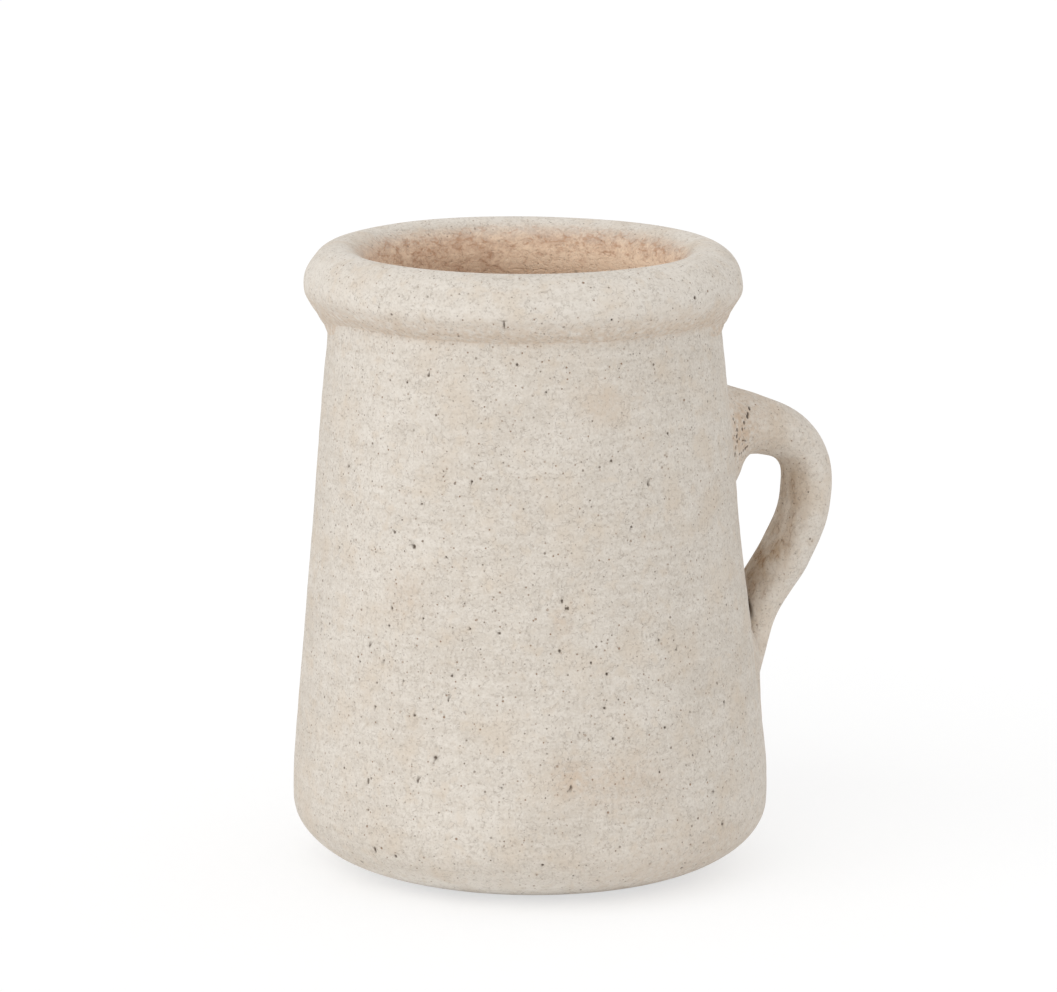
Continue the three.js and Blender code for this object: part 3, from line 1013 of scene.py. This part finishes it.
def strap_grime_and_shade(point):
    """The side that faces the jug is rubbed and grimy, with painted shade, most of all where it
    closes on the wall.
    """
    share = point.x / route_length
    grime_and_shade = (FIRST_GRIME_AND_SHADE * fade(share, *FIRST_GRIME_AND_SHADE_GROWS)
             + MORE_GRIME_AND_SHADE * fade(share, *MORE_GRIME_AND_SHADE_GROWS))
    return fade(-point.z, *INNER_SIDE) * grime_and_shade * (1 - fade(share, *GRIME_AND_SHADE_ENDS))


def strap_stain(point):
    """Red clay shows through at the root, and less at the tail."""
    share = point.x / route_length
    return max(ROOT_STAIN * (1 - fade(share, *ROOT_STAIN_ENDS)),
               TAIL_STAIN * fade(share, *TAIL_STAIN_GROWS), LEAST_STAIN)


def strap_wash_and_painted_light(point):
    """A little thick all along, and painted light just above the tail, where the strap's side lies
    in shade by the wall.
    """
    return STRAP_WASH + TAIL_PAINTED_LIGHT * bell(point.x / route_length - TAIL_PAINTED_LIGHT_PLACE,
                                         TAIL_PAINTED_LIGHT_BREADTH)


def strap_crevice_shadow(point):
    """Painted shadow in the gap where the bent strap closes on the wall, by height and distance off
    it.
    """
    off_wall = turn_and_radius(point)[1] - body_radius(point.z)
    return (CREVICE_SHADOW * bell(point.z - CREVICE_SHADOW_HEIGHT, CREVICE_SHADOW_REACH)
            * (1 - fade(off_wall, *CREVICE_SHADOW_OFF_WALL)))


# These three go on while it is straight, by its length, and the crevice's painted shadow once it is
# bent
paint(strap, "grime_and_shade", strap_grime_and_shade)
paint(strap, "stain", strap_stain)
# The thick mark on the strap is partly painted light
paint(strap, "thick", strap_wash_and_painted_light)
bend_along(strap, route)
smooth_and_shade(strap)
make_uneven(strap, THUMB_SIZE, THUMB_DEPTH)
# Painted shadow in the crevice where the strap closes on the wall, kept in the pit mark
paint(strap, "pit", strap_crevice_shadow)
strap.data.materials.append(washed)
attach(strap, "root")
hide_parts("handle")


# Root clay
# A collar of soft clay, thumbed from the wall out onto the strap's root. It is thick at the sides
# and below, and on top it fills only the corner between strap and wall.
COLLAR_START = 0.0045  # along the strap's line, where this leaves the wall
COLLAR_LENGTH = 0.023
COLLAR_SIDE = 0.015  # how far it stands off the strap where it starts, to each side
COLLAR_BELOW = 0.015
COLLAR_ABOVE = 0.0062
SIDE_HOLLOW = 1.4  # how much its slope is hollowed out at the sides, below and above
BELOW_HOLLOW = 1.5
ABOVE_HOLLOW = 3.5
COLLAR_STEPS = 12
COLLAR_SUNK = 0.0003  # its edges run out just below the surface of the wall and of the strap
COLLAR_HIDDEN = 0.0025  # its hidden side lies this far inside the strap
COLLAR_BACK = 0.0005  # its hidden end on the strap's line
COLLAR_TUCK = 0.002  # its outer end is turned back this far inside the strap
FALL_START = 0.05  # shares of its length between which it stops following the wall
FALL_END = 0.5
MOST_FALL = 0.015  # no ring is moved further than this to follow it


def collar_ring(distance, side, below, above):
    """A ring of the collar, by how far it stands off the strap to each side."""
    thick, wide = strap_size(distance / route_length)
    return (distance, thick + (below + above) / 2, wide + side, (below - above) / 2)


def collar_rings():
    """From the hidden end along the outside to the strap, and back inside it."""
    inner = -COLLAR_HIDDEN
    rings = [collar_ring(COLLAR_BACK, COLLAR_SIDE + inner, COLLAR_BELOW + inner, inner)]
    for step in range(COLLAR_STEPS + 1):
        angle = math.radians(90) * step / COLLAR_STEPS
        share = 1 - math.sin(angle)
        out = 1 - math.cos(angle)
        rings.append(collar_ring(
            COLLAR_START + COLLAR_LENGTH * out,
            COLLAR_SIDE * share ** SIDE_HOLLOW - COLLAR_SUNK * out,
            COLLAR_BELOW * share ** BELOW_HOLLOW - COLLAR_SUNK * out,
            COLLAR_ABOVE * (1 - out) ** ABOVE_HOLLOW - COLLAR_SUNK / 3 * out,
        ))
    rings.append(collar_ring(COLLAR_START + COLLAR_LENGTH - COLLAR_TUCK, inner, inner, inner))
    rings.append(collar_ring(COLLAR_BACK, inner, inner, inner))
    return rings


collar = lay_along_route("root_clay", collar_rings())
pick(collar, lambda point: point.x < COLLAR_BACK + TOUCHING)
bpy.ops.mesh.bridge_edge_loops()
bpy.ops.object.mode_set(mode="OBJECT")


def wall_behind(point):
    """How far the wall falls back, beside and above the strap's line."""
    radius = body_radius(HANDLE_ROOT)
    fallen = radius - math.sqrt(radius * radius - point.y * point.y)
    return fallen + (CONE_SLOPE + LEAN) * point.z


def follow_wall(piece):
    """Moves the rings near the wall back or forward along the strap's line, to lie along it."""
    def share_moved(point, way):
        along = (point.x - COLLAR_START) / COLLAR_LENGTH
        return (1 - fade(along, FALL_START, FALL_END)) * max(0, -way * wall_behind(point))

    moves = {}
    for way in (-1, 1):
        moves[way] = weigh(piece, f"move {way}", lambda point: share_moved(point, way) / MOST_FALL)
    for way, group in moves.items():
        finish_with(piece, "DISPLACE", direction="X", strength=way * MOST_FALL, mid_level=0,
                    vertex_group=group)


WALL_EDGE = (0.0001, 0.0012)  # from its start, what is laid on the wall fades out between these


def on_the_wall(point):
    """1 for the rings that are laid on the wall, and 0 for the hidden ones."""
    along = point.x - COLLAR_START
    return 1 - fade(along, *WALL_EDGE) if along > -WALL_EDGE[0] else 0


on_wall = weigh(collar, "on the wall", on_the_wall)
follow_wall(collar)
bend_along(collar, route)
bpy.data.objects.remove(route)
finish_with(collar, "SHRINKWRAP", target=body, vertex_group=on_wall,
            wrap_method="NEAREST_SURFACEPOINT", wrap_mode="ABOVE_SURFACE", offset=-COLLAR_SUNK)
smooth_and_shade(collar)
make_uneven(collar, THUMB_SIZE, THUMB_DEPTH)

# Rows of tool marks where the soft clay was pressed home: x and z of the first and of the last
# mark in millimetres, then how many there are, and their width and length
ROOT_MARKS = (
    (72.9, 152.8, 68.2, 147.0, 5, 1.0, 1.6),
    (64.7, 146.6, 64.4, 143.6, 4, 0.9, 1.3),
    (63.7, 141.4, 63.5, 139.6, 2, 0.8, 1.8),
    (70.2, 140.0, 66.4, 138.2, 5, 1.0, 1.1),
    (69.8, 142.2, 66.2, 143.6, 4, 0.8, 0.8),
    (63.9, 150.4, 64.2, 149.0, 2, 0.7, 1.3),
)
ROOT_MARKS_SEED = 4
MARK_STRAY = 0.5  # millimetres
MARK_SIZES = (0.8, 1.15)


def root_marks():
    """Every mark's place beside the handle, with its width and length."""
    chance = random.Random(ROOT_MARKS_SEED)
    marks = []
    for x, z, last_x, last_z, count, width, length in ROOT_MARKS:
        for i in range(count):
            share = i / (count - 1)
            mark_x = x + (last_x - x) * share + chance.uniform(-MARK_STRAY, MARK_STRAY)
            mark_z = z + (last_z - z) * share + chance.uniform(-MARK_STRAY, MARK_STRAY)
            place = Vector((mark_x, mark_z, 0))
            size = chance.uniform(*MARK_SIZES)
            marks.append((place / 1000, width * size / 1000, length * size / 1000))
    return marks


def seen_from_the_side(point):
    """The camera's side laid flat. The far side lies far off."""
    return Vector((point.x, point.z, 0 if point.y < 0 else 1))


sink_pits(collar, root_marks(), seen_from_the_side)


COLLAR_STAIN = 0.3
OFF_WALL_STAIN = 0.15
OFF_WALL_GROWS = (0.0005, 0.003)
MARKED_STAIN = 0.8
MARKED_X = 0.067
MARKED_X_REACH = 0.011
MARKED_Z = 0.146
MARKED_Z_REACH = 0.014
COLLAR_WASH = 0.9


def collar_stain(point):
    """The clay is red round the tool marks and where it meets the strap."""
    off_wall = turn_and_radius(point)[1] - body_radius(point.z)
    marked = bell(point.x - MARKED_X, MARKED_X_REACH) * bell(point.z - MARKED_Z, MARKED_Z_REACH)
    return COLLAR_STAIN + OFF_WALL_STAIN * fade(off_wall, *OFF_WALL_GROWS) + MARKED_STAIN * marked


paint(collar, "stain", collar_stain)
paint(collar, "thick", lambda point: COLLAR_WASH)
collar.data.materials.append(washed)
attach(collar, "root")
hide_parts("upper_joint_clay")


# Tail clay
# The tail is pressed onto the wall, and clay is worked in beside it until wall and strap run into
# each other. Below, it is smeared out to nothing.
PAD_ABOVE_TAIL = 0.014
PAD_HEIGHT = HANDLE_ROOT - HANDLE_DROP + PAD_ABOVE_TAIL
PAD_HALF_WIDTH = 0.035
PAD_HALF_HEIGHT = 0.026
PAD_SIDES = 44
PAD_RINGS = 12
PAD_BACKING = 0.003
PAD_START = BELLY_RADIUS + 0.01  # it is laid onto the wall from here
PAD_SUNK = 0.0002
TAIL_SIDE = 0.0115  # the strap's side, from the plane of the handle
FILLET_HEIGHT = 0.0038
FILLET_WIDTH = 0.021
FILLET_HOLLOW = 1.6  # how much its slope is hollowed out
FILLET_TOP = (0.084, 0.068)  # it starts at the first height and is whole at the second
FILLET_SLANT = 0.5  # its top falls this much outwards
FILLET_FOOT = 0.039
SMEAR = 0.0005  # how thick it is round the fillet
SMEAR_THINS = (0.4, 1)  # shares of the way out to its edge
PAD_UNEVEN_SIZE = 0.01
PAD_UNEVEN_DEPTH = 0.0004
PAD_STAIN = 0.3

bpy.ops.object.select_all(action="DESELECT")
bpy.ops.mesh.primitive_circle_add(vertices=PAD_SIDES, radius=1, fill_type="NOTHING",
                                  location=(PAD_START, 0, PAD_HEIGHT),
                                  rotation=(0, math.pi / 2, 0))
pad = bpy.context.object
pad.name = "tail_clay"
pad.scale = (PAD_HALF_HEIGHT, PAD_HALF_WIDTH, 1)
bpy.ops.object.transform_apply()
bpy.ops.object.mode_set(mode="EDIT")
bpy.ops.mesh.select_all(action="SELECT")
for ring in range(PAD_RINGS, 1, -1):
    bpy.ops.mesh.extrude_region_move()
    bpy.ops.transform.resize(value=(1, (ring - 1) / ring, (ring - 1) / ring),
                             center_override=(PAD_START, 0, PAD_HEIGHT))
bpy.ops.mesh.extrude_region_move()
bpy.ops.mesh.merge(type="CENTER")
bpy.ops.object.mode_set(mode="OBJECT")


def pad_thickness(point):
    """The fillet's height beside the strap, falling away from it and downwards, as a share."""
    away = max(0, abs(point.y) - TAIL_SIDE)
    beside = max(0, 1 - away / FILLET_WIDTH) ** FILLET_HOLLOW
    rising = max(0, (point.z - FILLET_FOOT) / (FILLET_TOP[1] - FILLET_FOOT))
    upright = min(1, rising) * fade(point.z + FILLET_SLANT * away, *FILLET_TOP)
    out = math.hypot(point.y / PAD_HALF_WIDTH, (point.z - PAD_HEIGHT) / PAD_HALF_HEIGHT)
    smear = SMEAR / FILLET_HEIGHT * (1 - fade(out, *SMEAR_THINS))
    return min(1, beside * upright + smear)


finish_with(pad, "SHRINKWRAP", target=body, wrap_method="PROJECT", use_project_x=True,
            use_project_z=False, use_negative_direction=True, use_positive_direction=False,
            offset=-PAD_SUNK)
tidy_mesh(pad)
mound = weigh(pad, "mound", pad_thickness)
finish_with(pad, "DISPLACE", strength=FILLET_HEIGHT, mid_level=0, vertex_group=mound)
finish_with(pad, "SOLIDIFY", thickness=PAD_BACKING, offset=-1)
smooth_and_shade(pad)
make_uneven(pad, PAD_UNEVEN_SIZE, PAD_UNEVEN_DEPTH)
paint(pad, "stain", lambda point: PAD_STAIN)
pad.data.materials.append(washed)
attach(pad, "root")
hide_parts("lower_joint_clay")
